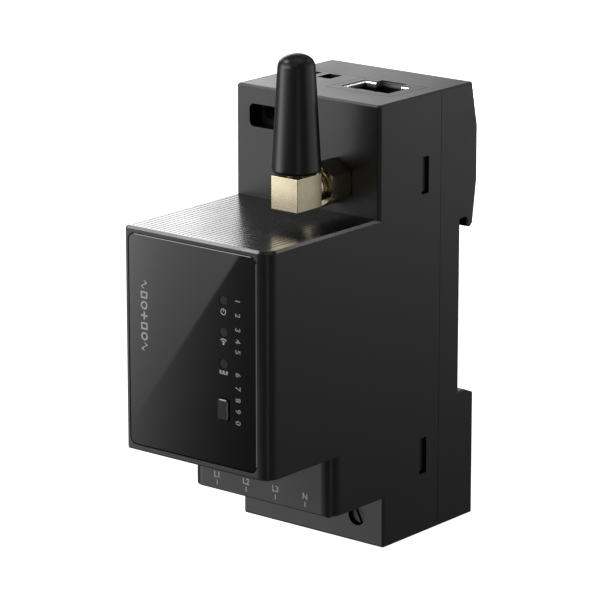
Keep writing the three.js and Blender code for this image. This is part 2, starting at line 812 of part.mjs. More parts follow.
const riserRight = riserLeft + boardThickness;
const riserFront = frontBoardBack - fit;
add(
  'riser_board',
  block([riserLeft, riserRight], [-riserFront, -riserBack], [-riserHalf, riserHalf]),
  laminate,
);
const radioBack = radioFront - radioThickness;
const radioBottom = antennaZ - 20.85;
add(
  'radio_board',
  block([antennaX - 10.1, antennaX + 7.9], [-radioFront, -radioBack], [radioBottom, antennaZ + 7.15]),
  laminate,
);

// ---- Parts on the boards ----

const beside = riserRight + seat;
const header = { depth: 2.5, half: 8, reach: 3.6 };
const headerHeights = [-header.half, header.half];
const frontHeaderDepths = [-frontBoardBack + seat, -frontBoardBack + header.reach];
const rearHeaderDepths = [-riserBack - header.reach, -mainBoardFront - seat];
add('front_header', block([beside, beside + header.depth], frontHeaderDepths, headerHeights), black);
add('rear_header', block([beside, beside + header.depth], rearHeaderDepths, headerHeights), black);
const radioHeaderSpan = [antennaX - 4.1, antennaX - 4.1 + header.depth];
const radioHeaderDepths = [-radioBack + seat, -mainBoardFront - seat];
add('radio_header', block(radioHeaderSpan, radioHeaderDepths, [radioBottom + 1, radioBottom + 11]), black);

const can = { size: 12, height: 2.4, left: antennaX - 6.6, low: radioBottom + 1.5 };
add(
  'shield_can',
  block(
    [can.left, can.left + can.size],
    [-radioFront - can.height, -radioFront - seat],
    [can.low, can.low + can.size],
  ),
  steel,
);
const chip = { size: 7, thickness: 1.1, left: -6.5, low: 1 };
add(
  'metering_chip',
  block(
    [chip.left, chip.left + chip.size],
    [-mainBoardFront - chip.thickness, -mainBoardFront - seat],
    [chip.low, chip.low + chip.size],
  ),
  black,
);

// A wound core and the bobbin that passes through it.
function transformer() {
  const core = block([beside + 0.4, beside + 12], [-33, -18], [-16, -4]);
  const bobbin = block([beside, beside + 11], [-31, -20], [-18, -2]);
  return join(core, bobbin);
}

add('transformer', transformer(), yellow);

function capacitor() {
  const radius = 5;
  const low = -18;
  const high = -2;
  return turnedZ([
    [0, low],
    [radius, low],
    [radius, low + 2],
    [radius - 0.4, low + 2.4],
    [radius, low + 2.8],
    [radius, high],
    [0, high],
  ], beside + radius, -42, 24);
}

add('bulk_capacitor', capacitor(), black);

// One disc beside the next, from the board's left edge.
const varistorRadius = terminalPitch / 2 - 0.75;
for (let i = 0; i < varistorCount; i += 1) {
  const x = varistorRadius - mainBoardHalf + i * terminalPitch;
  const back = mainBoardFront + seat;
  add(`varistor_${i + 1}`, rodY(varistorRadius, back + 2.6, back, x, floor + 17.5), blue);
}

export default meter;
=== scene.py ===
"""Looks of a smart electric meter for a 35 mm rail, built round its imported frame.

Sizes are written in millimetres and turned into metres where a shape is made.
+X is to the right, -Y is to the front, +Z is up, as in the frame.
"""
import json
import math

import bpy
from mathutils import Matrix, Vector

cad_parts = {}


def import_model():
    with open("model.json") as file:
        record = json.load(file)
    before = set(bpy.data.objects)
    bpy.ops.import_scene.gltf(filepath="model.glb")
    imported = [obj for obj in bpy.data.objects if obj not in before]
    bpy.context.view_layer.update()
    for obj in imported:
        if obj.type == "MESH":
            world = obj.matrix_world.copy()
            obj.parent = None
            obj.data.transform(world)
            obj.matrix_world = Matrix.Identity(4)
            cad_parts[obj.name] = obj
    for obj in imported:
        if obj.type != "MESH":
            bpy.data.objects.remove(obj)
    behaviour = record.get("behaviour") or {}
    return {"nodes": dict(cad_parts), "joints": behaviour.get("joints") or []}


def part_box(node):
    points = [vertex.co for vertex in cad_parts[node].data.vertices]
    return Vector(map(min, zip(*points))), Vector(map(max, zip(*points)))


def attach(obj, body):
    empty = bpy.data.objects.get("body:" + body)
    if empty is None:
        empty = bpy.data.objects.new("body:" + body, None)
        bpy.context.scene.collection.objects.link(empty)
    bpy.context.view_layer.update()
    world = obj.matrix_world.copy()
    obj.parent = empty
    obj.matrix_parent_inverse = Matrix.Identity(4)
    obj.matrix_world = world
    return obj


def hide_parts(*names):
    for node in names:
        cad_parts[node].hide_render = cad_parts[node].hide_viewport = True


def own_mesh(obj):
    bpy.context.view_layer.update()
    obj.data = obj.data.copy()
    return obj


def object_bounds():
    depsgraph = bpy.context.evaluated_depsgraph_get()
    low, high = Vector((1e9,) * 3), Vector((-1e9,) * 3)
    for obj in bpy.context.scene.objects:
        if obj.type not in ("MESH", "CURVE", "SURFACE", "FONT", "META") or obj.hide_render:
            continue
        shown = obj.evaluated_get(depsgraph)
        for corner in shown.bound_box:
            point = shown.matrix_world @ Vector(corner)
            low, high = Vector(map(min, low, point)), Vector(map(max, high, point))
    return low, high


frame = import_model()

frame_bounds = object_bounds()
MM = 0.001


# ---- Places, read from the frame ----

def span(node):
    """Lowest and highest corner of a node of the frame, in millimetres."""
    low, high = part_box(node)
    return [v / MM for v in low], [v / MM for v in high]


def middle(node):
    """The middle of a node of the frame, in millimetres."""
    return [(a + b) / 2 for a, b in zip(*span(node))]


SHELL_LOW, SHELL_HIGH = span("front_housing")
PANEL_LOW, PANEL_HIGH = span("front_panel")
SIDE, TOP, BOTTOM = SHELL_HIGH[0], SHELL_HIGH[2], SHELL_LOW[2]
FRONT, SEAM = SHELL_LOW[1], SHELL_HIGH[1]
PANEL_MARGIN, LEDGE_DROP = 1.2, 12.1
DECK = PANEL_HIGH[2] + PANEL_MARGIN
LEDGE_FRONT, LEDGE_BOTTOM = -40.7, -DECK - LEDGE_DROP
UPPER_FRONT, LOWER_FRONT = -26.2, -24.4
WALL = 2.0
FIT = 0.03                  # play round a part that sits in a relief
NEAR = 0.01                 # two places closer than this are the same
RIB_PITCH, RIB_MARGIN = 1.15, 1.2   # between the deck's grooves, and beside them
LAMP_HOLE, LAMP_RECESS = 1.05, 1.1
BUTTON_HOLE, BUTTON_HOLE_ROUND = (1.4, 2.2), 0.45
WINDOW_HEIGHTS, WINDOW_DEPTHS = (25.05, 32.55), (-12.78, -10.43)
CLIP_JOINT = "rail_clip_slide"
COLUMNS = [middle(f"terminal_screw_{i}")[0] for i in range(1, 5)]
TERMINAL_Z = middle("terminal_screw_1")[2]
SIGNAL_COLUMNS = [middle(f"signal_screw_{i}")[0] for i in (1, 2)]
SIGNAL_Z = middle("signal_screw_1")[2]
LAMPS = [middle(f"light_pipe_{i}") for i in (1, 2, 3)]
BUTTON = middle("reset_button")
NUT_LOW, NUT_HIGH = span("antenna_nut")
ANTENNA_X, _, ANTENNA_Z = middle("antenna_nut")


# ---- Modelling tools ----

def only(piece):
    """Makes one piece the selected and active one."""
    for other in list(bpy.context.selected_objects):
        other.select_set(False)
    piece.select_set(True)
    bpy.context.view_layer.objects.active = piece


def settle(piece, name=None):
    """Puts the piece's place into its mesh."""
    if name:
        piece.name = name
        piece.data.name = name
    only(piece)
    bpy.ops.object.transform_apply(location=True, rotation=True, scale=True)
    return piece


def block(name, low, high):
    """A box between two corners, the start of most pieces and cutters."""
    centre = [(a + b) / 2 * MM for a, b in zip(low, high)]
    bpy.ops.mesh.primitive_cube_add(size=1, location=centre)
    piece = bpy.context.object
    piece.scale = [(b - a) * MM for a, b in zip(low, high)]
    return settle(piece, name)


def rod(name, radius, low, high, axis, across, sides=48):
    """A round bar along an axis from low to high; across gives its other two coordinates."""
    place = list(across)
    place.insert("xyz".index(axis), (low + high) / 2)
    turn = {"x": (0, math.pi / 2, 0), "y": (math.pi / 2, 0, 0), "z": (0, 0, 0)}[axis]
    bpy.ops.mesh.primitive_cylinder_add(
        vertices=sides, radius=radius * MM, depth=(high - low) * MM,
        location=[v * MM for v in place], rotation=turn)
    return settle(bpy.context.object, name)


def choose(piece, test):
    """Selects the edges whose middle and direction pass a test."""
    only(piece)
    mesh = piece.data
    for items in (mesh.vertices, mesh.edges, mesh.polygons):
        items.foreach_set("select", [False] * len(items))
    for edge in mesh.edges:
        a, b = (mesh.vertices[i].co / MM for i in edge.vertices)
        edge.select = bool(test((a + b) / 2, (b - a).normalized()))
    bpy.context.tool_settings.mesh_select_mode = (False, True, False)


def edit(piece, *steps, everything=True):
    """Runs edit-mode steps on a piece, on all of it or on what is already selected."""
    only(piece)
    bpy.ops.object.mode_set(mode="EDIT")
    if everything:
        bpy.ops.mesh.select_all(action="SELECT")
    for step in steps:
        step()
    bpy.ops.object.mode_set(mode="OBJECT")
    return piece


def bevel(piece, width, segments, test):
    """Bevels the edges that pass a test."""
    choose(piece, test)
    return edit(piece, lambda: bpy.ops.mesh.bevel(
        offset=width * MM, segments=segments, profile=0.5, affect="EDGES"), everything=False)


def modify(piece, kind, **settings):
    """Adds a modifier and applies it."""
    only(piece)
    bpy.ops.object.modifier_add(type=kind)
    modifier = piece.modifiers[-1]
    for key, value in settings.items():
        setattr(modifier, key, value)
    bpy.ops.object.modifier_apply(modifier=modifier.name)
    return piece


def join(first, *others):
    """Makes several pieces one object, side by side."""
    only(first)
    for other in others:
        other.select_set(True)
    bpy.ops.object.join()
    return first


def combine(piece, operation, *tools):
    """Adds tools to a piece, cuts them out of it or keeps what they share with it."""
    for tool in tools:
        modify(piece, "BOOLEAN", operation=operation, object=tool, solver="EXACT")
        bpy.data.objects.remove(tool)
    return piece


def cut(piece, *tools):
    """Cuts several separate tools out of a piece in one go."""
    return combine(piece, "DIFFERENCE", join(*tools))


def tidy(piece):
    """Closes doubled corners and turns every face outwards."""
    return edit(
        piece,
        lambda: bpy.ops.mesh.remove_doubles(threshold=0.002 * MM),
        lambda: bpy.ops.mesh.normals_make_consistent(inside=False))


def drawn(name, points):
    """A line drawn from corner to corner, by extruding one vertex again and again."""
    bpy.ops.mesh.primitive_plane_add(size=MM, location=(0, 0, 0))
    piece = bpy.context.object
    piece.name = name
    corners = [Vector(p) * MM for p in points]
    only(piece)
    bpy.context.tool_settings.mesh_select_mode = (True, False, False)
    bpy.ops.object.mode_set(mode="EDIT")
    bpy.ops.mesh.select_all(action="SELECT")
    bpy.ops.mesh.merge(type="CENTER")
    bpy.ops.transform.translate(value=corners[0])
    for here, there in zip(corners, corners[1:]):
        bpy.ops.mesh.extrude_vertices_move(TRANSFORM_OT_translate={"value": there - here})
    bpy.ops.object.mode_set(mode="OBJECT")
    return piece


def plate(name, points, depth):
    """A flat outline, filled and drawn out by a depth given as a vector."""
    piece = drawn(name, points)
    bpy.context.tool_settings.mesh_select_mode = (True, False, False)
    return edit(
        piece,
        lambda: bpy.ops.mesh.edge_face_add(),
        lambda: bpy.ops.mesh.extrude_region_move(
            TRANSFORM_OT_translate={"value": Vector(depth) * MM}),
        lambda: bpy.ops.mesh.select_all(action="SELECT"),
        lambda: bpy.ops.mesh.normals_make_consistent(inside=False))


def turned(name, profile, axis, across, steps=64):
    """A profile of radii and heights spun round an axis, which across places."""
    def place(radius, height):
        if axis == "z":
            return across[0] + radius, across[1], height
        return across[0] + radius, height, across[1]
    piece = drawn(name, [place(*p) for p in profile])
    centre = Vector(place(0, 0)) * MM
    direction = (0, 0, 1) if axis == "z" else (0, 1, 0)
    bpy.context.tool_settings.mesh_select_mode = (True, False, False)
    edit(piece, lambda: bpy.ops.mesh.spin(
        steps=steps, angle=2 * math.pi, center=centre, axis=direction))
    return tidy(piece)


def copied(piece, name, shift):
    """A copy with its own mesh, moved by a number of millimetres."""
    only(piece)
    bpy.ops.object.duplicate(linked=False)
    bpy.ops.transform.translate(value=Vector(shift) * MM)
    return settle(bpy.context.object, name)


def smooth(piece, angle=32):
    """Rounds the shading of curved faces and keeps flat faces flat."""
    only(piece)
    bpy.ops.object.shade_smooth_by_angle(angle=math.radians(angle))
    return modify(piece, "WEIGHTED_NORMAL", keep_sharp=True, weight=80)


def soften(piece, width, segments=2, angle=40):
    """Breaks every sharp edge with a small radius."""
    return modify(
        piece, "BEVEL", width=width * MM, segments=segments, limit_method="ANGLE",
        angle_limit=math.radians(angle), use_clamp_overlap=True, harden_normals=False)


def along(direction, axis):
    return abs(direction["xyz".index(axis)]) > 0.99


def place_piece(piece, material, body, slot, *nodes):
    """Gives a piece its finish, its body and the nodes that it stands for. The slot is not used."""
    piece.data.materials.clear()
    piece.data.materials.append(material)
    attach(piece, body)
    if nodes:
        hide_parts(*nodes)
    return piece


# ---- Finishes ----

class Wire:
    """A shader value. Each arithmetic operator adds its Math node."""

    def __init__(self, tree, socket):
        self.tree, self.socket = tree, socket

    def math(self, operation, *values, clamp=False):
        node = self.tree.nodes.new("ShaderNodeMath")
        node.operation, node.use_clamp = operation, clamp
        for socket, value in zip(node.inputs, values):
            feed(self.tree, socket, value)
        return Wire(self.tree, node.outputs[0])

    def __add__(self, other):
        return self.math("ADD", self, other)

    def __sub__(self, other):
        return self.math("SUBTRACT", self, other)

    def __rsub__(self, other):
        return self.math("SUBTRACT", other, self)

    def __mul__(self, other):
        return self.math("MULTIPLY", self, other)

    __radd__, __rmul__ = __add__, __mul__

    def above(self, edge):
        return self.math("GREATER_THAN", self, edge)

    def below(self, edge):
        return self.math("LESS_THAN", self, edge)

    def kept(self):
        return self.math("ADD", self, 0.0, clamp=True)


def feed(tree, socket, value):
    if isinstance(value, Wire):
        tree.links.new(value.socket, socket)
    else:
        socket.default_value = value


class Finish:
    """A material whose nodes are added by name. Uniform values sit on the shader's own sockets."""

    def __init__(self, name, **uniform):
        self.material = bpy.data.materials.new(name)
        self.material.use_nodes = True
        self.tree = self.material.node_tree
        self.shader = self.tree.nodes["Principled BSDF"]
        for socket, value in uniform.items():
            self.shader.inputs[socket.replace("_", " ")].default_value = value
        self.place = self.node("TexCoord", output="Object")

    def node(self, kind, settings=None, output=0, **inputs):
        node = self.tree.nodes.new("ShaderNode" + kind)
        for key, value in (settings or {}).items():
            if key == "stops":
                while len(node.color_ramp.elements) < len(value):
                    node.color_ramp.elements.new(0.5)
                for element, (position, colour) in zip(node.color_ramp.elements, value):
                    element.position, element.color = position, colour
            else:
                setattr(node, key, value)
        for key, value in inputs.items():
            feed(self.tree, node.inputs[int(key[1:]) if key[0] == "_" else key], value)
        return Wire(self.tree, node.outputs[output])

    def stretch(self, x, y, z):
        """The piece's own coordinates, in features per millimetre along each axis."""
        return self.node("Mapping", Vector=self.place, Scale=(x / MM, y / MM, z / MM))

    def noise(self, per_mm, detail=3.0, rough=0.5, at=None):
        if at is None:
            at = self.stretch(per_mm, per_mm, per_mm)
        return self.node("TexNoise", Vector=at, Scale=1.0, Detail=detail, Roughness=rough)

    def ramp(self, value, low, high):
        """Stretches a value so that low becomes 0 and high becomes 1."""
        return self.node(
            "MapRange", {"clamp": True}, Value=value, _1=float(low), _2=float(high), _3=0.0, _4=1.0)

    def mix(self, factor, first, second):
        node = self.tree.nodes.new("ShaderNodeMix")
        node.data_type = "RGBA"
        feed(self.tree, node.inputs[0], factor)
        feed(self.tree, node.inputs[6], first)
        feed(self.tree, node.inputs[7], second)
        return Wire(self.tree, node.outputs[2])

    def split(self, vector=None):
        node = self.tree.nodes.new("ShaderNodeSeparateXYZ")
        feed(self.tree, node.inputs[0], vector or self.place)
        return [Wire(self.tree, socket) for socket in node.outputs]

    def set(self, **inputs):
        for socket, value in inputs.items():
            feed(self.tree, self.shader.inputs[socket.replace("_", " ")], value)
        return self

    def bump(self, height, depth_mm, strength=1.0):
        self.set(Normal=self.node(
            "Bump", Height=height, Distance=depth_mm * MM, Strength=strength, output="Normal"))
        return self


def grey(level, alpha=1.0):
    return level, level, level, alpha


def moulded(name, dark, light, rough, spread=0.06, grain=7.0, depth=0.004, polish=None):
    """Moulded plastic: a fine eroded grain, faint clouding and faint rub marks.

    Polish names a height in millimetres at which upward faces are smoother, and by how much.
    """
    finish = Finish(name)
    clouds = finish.ramp(finish.noise(0.07, 4.0), 0.35, 0.65)
    grains = finish.noise(grain, 2.0, 0.6)
    rubs = finish.ramp(finish.noise(1, 5.0, 0.7, finish.stretch(0.5, 2.2, 0.35)), 0.48, 0.75)
    speck = finish.ramp(grains, 0.3, 0.7)
    gloss = rubs * (spread * 0.5)
    if polish:
        height, amount = polish
        level = finish.split()[2]
        upward = finish.split(finish.node("TexCoord", output="Normal"))[2].above(0.4)
        reach = 0.55
        smooth_face = level.math("COMPARE", level, height * MM, reach * MM) * upward
        gloss = gloss + smooth_face * amount
        grains = grains * (1.0 - smooth_face)
    finish.set(
        Base_Color=finish.mix((clouds * 0.65 + speck * 0.35).kept(), dark, light),
        Roughness=(rough - spread / 2) + clouds * spread - gloss)
    return finish.bump(grains, depth, 0.6).material


def metal(name, dark, light, rough, lines=(0.4, 9.0, 0.4), depth=0.0015, **uniform):
    """Plated metal: fine tool marks along one direction, and tarnish in soft patches."""
    finish = Finish(name, Metallic=1.0, **uniform)
    marks = finish.noise(1, 4.0, 0.6, finish.stretch(*lines))
    patches = finish.ramp(finish.noise(0.35, 3.0), 0.38, 0.68)
    finish.set(
        Base_Color=finish.mix(patches, light, dark),
        Roughness=(rough - 0.05) + marks * 0.08 + patches * 0.05)
    return finish.bump(marks, depth, 0.5).material


def gloss_panel():
    """Polished black sheet with faint wipe marks and a very slight unevenness."""
    finish = Finish("panel_gloss")
    wipes = finish.ramp(finish.noise(1, 6.0, 0.75, finish.stretch(0.6, 1, 0.12)), 0.5, 0.8)
    dust = finish.ramp(finish.noise(2.2, 2.0), 0.74, 0.82)
    waves = finish.noise(0.03, 1.0)
    finish.set(
        Base_Color=finish.mix(dust, grey(0.0035), grey(0.012)),
        Roughness=0.018 + wipes * 0.012 + dust * 0.03)
    return finish.bump(waves, 0.002, 0.2).material


def circuit_board():
    """Green solder mask over copper tracks, with bare pads."""
    finish = Finish("board_laminate", Coat_Weight=0.4)
    weave = finish.noise(3.0, 3.0)
    tracks = finish.node(
        "TexVoronoi", {"distance": "MANHATTAN", "feature": "F1"}, Vector=finish.stretch(0.4, 0.4, 0.4),
        Scale=1.0, output="Distance")
    rings = tracks * 9.0
    edge = finish.ramp(rings.math("FRACT", rings), 0.45, 0.55)
    pads = finish.node(
        "TexVoronoi", {"feature": "F1"}, Vector=finish.stretch(0.55, 0.55, 0.55), Scale=1.0,
        Randomness=0.4, output="Distance").below(0.16)
    mask = finish.mix(edge, (0.012, 0.075, 0.03, 1), (0.02, 0.12, 0.045, 1))
    finish.set(
        Base_Color=finish.mix(pads, mask, (0.62, 0.6, 0.54, 1)),
        Metallic=pads * 0.9,
        Roughness=0.32 + weave * 0.12)
    return finish.bump(edge, 0.02, 0.5).material


def banded(name, ground, band, axis, per_mm, share, rough, **uniform):
    """A wound or printed skin with bands across one axis."""
    finish = Finish(name, **uniform)
    run = finish.split(finish.stretch(per_mm, per_mm, per_mm))["xyz".index(axis)]
    stripes = run.math("FRACT", run).below(share)
    fibres = finish.noise(5.0, 3.0)
    finish.set(
        Base_Color=finish.mix(stripes, ground, band),
        Roughness=rough + fibres * 0.15)
    return finish.bump(stripes * 0.7 + fibres * 0.3, 0.03, 0.4).material


def socket_tin():
    """Tinned sheet, bright along the rim, with painted shade darkening its colour further down."""
    finish = Finish("socket_tin", Metallic=1.0)
    marks = finish.noise(1, 4.0, 0.6, finish.stretch(8.0, 0.4, 0.4))
    # painted shade: deep runs from 0 at the rim to 1 further down into the socket, darkening the colour and
    # roughening the sheet there
    deep = finish.ramp(finish.split()[2], (TOP - 0.5) * MM, (TOP - 1.3) * MM)
    finish.set(
        # the near-black second colour is painted shade, not the sheet's own colour
        Base_Color=finish.mix(deep, (0.8, 0.81, 0.82, 1), grey(0.02)),
        Roughness=0.2 + marks * 0.1 + deep * 0.3)
    return finish.bump(marks, 0.0015, 0.5).material


def lens_plastic():
    """Smoked light pipe with fine haze."""
    finish = Finish("light_pipe", Specular_IOR_Level=0.22)
    haze = finish.noise(4.0, 3.0)
    clouds = finish.ramp(finish.noise(0.8, 2.0), 0.35, 0.7)
    finish.set(
        Base_Color=finish.mix(clouds, grey(0.014), grey(0.02)),
        Roughness=0.4 + haze * 0.2)
    return finish.bump(haze, 0.003, 0.4).material


def print_ink(name, level):
    """Pad-printed ink: slightly uneven cover on a satin film."""
    finish = Finish(name)
    cover = finish.ramp(finish.noise(6.0, 3.0), 0.3, 0.6)
    finish.set(
        Base_Color=finish.mix(cover, grey(level * 0.85), grey(level)), Roughness=0.45 + cover * 0.1)
    return finish.bump(cover, 0.004, 0.4).material


HOUSING = moulded(
    "housing_plastic", grey(0.0065), grey(0.0085), 0.38, 0.04, depth=0.002, polish=(DECK, 0.12))
BASE = moulded("base_plastic", grey(0.0065), grey(0.0085), 0.38, 0.04)
CLIP = moulded("clip_plastic", grey(0.010), grey(0.014), 0.46)
CONNECTOR = moulded("connector_plastic", grey(0.02), grey(0.028), 0.4, 0.04)
BLOCK = moulded("block_plastic", grey(0.06), grey(0.08), 0.4, 0.04)
SWITCH = moulded("switch_plastic", grey(0.012), grey(0.018), 0.5)
BUTTON_CAP = moulded("button_plastic", grey(0.014), grey(0.018), 0.2, 0.03, depth=0.0003)
RUBBER = moulded("antenna_rubber", grey(0.004), grey(0.006), 0.34, 0.04, 5.0, 0.0015)
LAMP = moulded("lamp_resin", grey(0.45), grey(0.6), 0.3)
DISC = moulded("varistor_lacquer", (0.012, 0.05, 0.24, 1), (0.02, 0.075, 0.32, 1), 0.35, depth=0.01)
PANEL = gloss_panel()
LENS = lens_plastic()
INK = print_ink("ink_white", 0.88)
PALE_INK = print_ink("ink_grey", 0.5)
BOARD = circuit_board()
TAPE = banded("transformer_tape", (0.55, 0.36, 0.03, 1), (0.42, 0.26, 0.02, 1), "z", 0.35, 0.06, 0.35)
SLEEVE = banded("capacitor_sleeve", (0.012, 0.013, 0.03, 1), (0.4, 0.4, 0.42, 1), "x", 0.09, 0.2, 0.3)
BRASS = metal("antenna_brass", (0.53, 0.465, 0.32, 1), (0.57, 0.505, 0.36, 1), 0.19, (0.3, 0.3, 6.0), 0.0001)
GOLD = metal("contact_gold", (0.7, 0.47, 0.16, 1), (0.85, 0.62, 0.25, 1), 0.25)
COPPER = metal("bar_copper", (0.55, 0.32, 0.18, 1), (0.7, 0.45, 0.28, 1), 0.35, (6.0, 0.4, 0.4))
ZINC = metal("screw_zinc", (0.42, 0.43, 0.42, 1), (0.6, 0.61, 0.6, 1), 0.32)
DARK_STEEL = metal("screw_blackened", grey(0.025), grey(0.045), 0.42)
CAGE = metal("cage_zinc", (0.42, 0.43, 0.42, 1), (0.58, 0.59, 0.58, 1), 0.38, (0.4, 6.0, 0.4))
TIN = metal("shield_steel", (0.55, 0.56, 0.57, 1), (0.72, 0.73, 0.74, 1), 0.22, (8.0, 0.4, 0.4))
SOCKET_TIN = socket_tin()
SPRING = metal("spring_steel", (0.5, 0.51, 0.53, 1), (0.66, 0.67, 0.69, 1), 0.25, (3.0, 3.0, 9.0))

KEPT = {
    "rail_clip": CLIP,
    "tact_switch": SWITCH, "switch_plunger": SWITCH,
    "led_1": LAMP, "led_2": LAMP, "led_3": LAMP,
    "signal_block": BLOCK, "socket_body": CONNECTOR, "front_header": CONNECTOR,
    "rear_header": CONNECTOR, "radio_header": CONNECTOR, "metering_chip": CONNECTOR,
    "socket_shield": TIN, "shield_can": TIN, "socket_contacts": GOLD, "antenna_jack": BRASS,
    "main_board": BOARD, "front_board": BOARD, "riser_board": BOARD, "radio_board": BOARD,
    "board_screw_1": ZINC, "board_screw_2": ZINC,
    "transformer": TAPE, "bulk_capacitor": SLEEVE, "clip_spring": SPRING,
    "varistor_1": DISC, "varistor_2": DISC, "varistor_3": DISC,
    "signal_bar_1": COPPER, "signal_bar_2": COPPER,
}
for number in range(1, 5):
    KEPT[f"terminal_cage_{number}"] = CAGE
    KEPT[f"terminal_bar_{number}"] = COPPER
for number in (1, 2):
    KEPT[f"signal_cage_{number}"] = CAGE
for node_name, material in KEPT.items():
    kept_mesh = frame["nodes"][node_name].data
    kept_mesh.materials.clear()
    kept_mesh.materials.append(material)

bpy.ops.object.select_all(action="DESELECT")


# ---- Front shell ----

def step(name, front, low, high, radii, round_ends):
    """One step of the shell: a block with rounded front corners and softened ends."""
    piece = block(name, (-SIDE, front, low), (SIDE, SEAM, high))
    for across, radius in zip((-1, 1), radii):
        bevel(piece, radius, 10 if radius > 1.2 else 6, lambda m, d, a=across: (
            along(d, "z") and m.y < front + NEAR and m.x * a > 0))
    for height, width, segments in round_ends:
        bevel(piece, width, segments, lambda m, d, h=height: (
            abs(m.z - h) < NEAR and m.y <= SEAM - NEAR))
    return piece


def shell():
    body = step("housing_shell", FRONT, -DECK, DECK, (0.8, 2.8), [(DECK, 0.5, 1), (-DECK, 0.35, 2)])
    upper = step("upper", UPPER_FRONT, 0, TOP, (0.55, 0.8), [(TOP, 0.4, 1)])
    ledge = step("ledge", LEDGE_FRONT, LEDGE_BOTTOM, 0, (2.9, 2.9), [(LEDGE_BOTTOM, 0.25, 2)])
    lower = step("lower", LOWER_FRONT, BOTTOM, 0, (0.5, 0.5), [(BOTTOM, 0.4, 2)])
    combine(body, "UNION", upper, ledge, lower)

    first = drawn_groove()
    count = int(2 * (SIDE - RIB_MARGIN) / RIB_PITCH)
    grooves = [copied(first, f"groove_{i}", (i * RIB_PITCH, 0, 0)) for i in range(count)]
    bpy.data.objects.remove(first)
    cut(body, *grooves)

    # each room runs a little further back than the last, so that no two back faces coincide
    rooms = (
        (FRONT + WALL, -DECK + WALL, DECK - WALL), (UPPER_FRONT + WALL, 0, TOP - WALL),
        (LEDGE_FRONT + WALL, LEDGE_BOTTOM + WALL, 1), (LOWER_FRONT + WALL, BOTTOM + WALL, 2))
    inside = SIDE - WALL
    for extra, (front, low, high) in enumerate(rooms, 1):
        combine(body, "DIFFERENCE", block(
            f"room_{extra}", (-inside, front, low), (inside, SEAM + extra, high)))
    return body


def drawn_groove():
    """One fine groove of the deck, from the front edge to the upper block."""
    x = -SIDE + 1.4
    half, deep = 0.15, 0.075
    return plate("groove", [
        (x - half, FRONT + 0.9, DECK + 0.02),
        (x, FRONT + 0.9, DECK - deep),
        (x + half, FRONT + 0.9, DECK + 0.02),
    ], (0, UPPER_FRONT - FRONT - 1.2, 0))


def rounded_block(name, low, high, radius, axis, segments=6):
    """A block whose four edges along one axis are rounded."""
    piece = block(name, low, high)
    return bevel(piece, radius, segments, lambda m, d: along(d, axis))


def socket_window(bottom):
    """The opening over the socket: its rim shows on the left and at both shoulders."""
    low, high = span("socket_shield")
    centre, key = (low[0] + high[0]) / 2, 3.16
    yield block("window", (low[0] + 0.02, low[1] + 0.36, bottom), (high[0] - 0.36, -8.16, TOP + 1))
    yield block("key", (centre - key, -9, bottom), (centre + key, high[1] - 0.36, TOP + 2))
    for x in (centre - 2.6, centre + 2.2):
        yield block("nick", (x, low[1] + 0.1, bottom), (x + 0.9, low[1] + 1, TOP + 3))


def front_openings(lamp_radius, back):
    """Cutters for the three lamps and the button, from before the front to a depth behind it."""
    yield from (
        rod(f"lamp_hole_{i}", lamp_radius, FRONT - 1, FRONT + back, "y", (x, z))
        for i, (x, _, z) in enumerate(LAMPS))
    half_x, half_z = BUTTON_HOLE
    yield rounded_block(
        "button_hole", (BUTTON[0] - half_x, FRONT - 1, BUTTON[2] - half_z),
        (BUTTON[0] + half_x, FRONT + back, BUTTON[2] + half_z), BUTTON_HOLE_ROUND, "y", 4)


def pierced_shell():
    """The shell with its panel recess, windows, wire holes, socket window and outline groove."""
    body = shell()
    gap = 0.02
    recess = rounded_block(
        "recess", (PANEL_LOW[0] - gap, FRONT - 1, PANEL_LOW[2] - gap),
        (PANEL_HIGH[0] + gap, FRONT + 1, PANEL_HIGH[2] + gap), 1.65, "y", 8)
    cut(body, recess)
    holes = list(front_openings(LAMP_RECESS, 3))
    for up in (-1, 1):
        low_z, high_z = sorted(up * height for height in WINDOW_HEIGHTS)
        holes.append(rounded_block(
            f"w{up}", (-SIDE - 1, WINDOW_DEPTHS[0], low_z), (SIDE + 1, WINDOW_DEPTHS[1], high_z),
            0.25, "x", 3))
    for i, x in enumerate(COLUMNS):
        holes.append(rod(f"d{i}", 2.05, LOWER_FRONT - 1, LOWER_FRONT + 3, "y", (x, TERMINAL_Z)))
        holes.append(rounded_block(
            f"e{i}", (x - 2.4, -16.1, BOTTOM - 1), (x + 2.4, -11.3, BOTTOM + 3), 0.3, "z", 3))
    for i, x in enumerate(SIGNAL_COLUMNS):
        holes.append(rounded_block(
            f"s{i}", (x - 1.65, -11.9, TOP - 3), (x + 1.65, -7.8, TOP + 1), 0.15, "z", 3))
    signal_x = sum(SIGNAL_COLUMNS) / 2
    holes.append(rounded_block(
        "sw", (signal_x - 4.65, UPPER_FRONT - 1, SIGNAL_Z - 2.325),
        (signal_x + 4.65, UPPER_FRONT + 3, SIGNAL_Z + 2.325), 1.1, "y", 6))
    holes.append(rod("a", 3.35, UPPER_FRONT - 1, UPPER_FRONT + 3, "y", (ANTENNA_X, ANTENNA_Z)))
    cut(body, *holes)
    low, high = span("socket_body")
    skin = high[2] + 0.01
    half, deep = 0.05, 0.04
    outline = block(
        "outline", (low[0] - half, low[1] - half, TOP - deep), (high[0] + half, SEAM + 6, TOP + 1))
    cut(outline, block(
        "core", (low[0] + half, low[1] + half, TOP - 2), (high[0] - half, SEAM + 7, TOP + 2)))
    relief = block("relief", (low[0] - FIT, low[1] - FIT, TOP - 3), (high[0] + FIT, SEAM + 5, skin))
    combine(body, "DIFFERENCE", relief, outline)
    combine(body, "DIFFERENCE", *socket_window(skin - 1))
    return tidy(body)


body = pierced_shell()
soften(body, 0.12)
smooth(body, 22)
place_piece(body, HOUSING, "housing", "housing_plastic", "front_housing")


# ---- Panel, lamps, button and prints ----

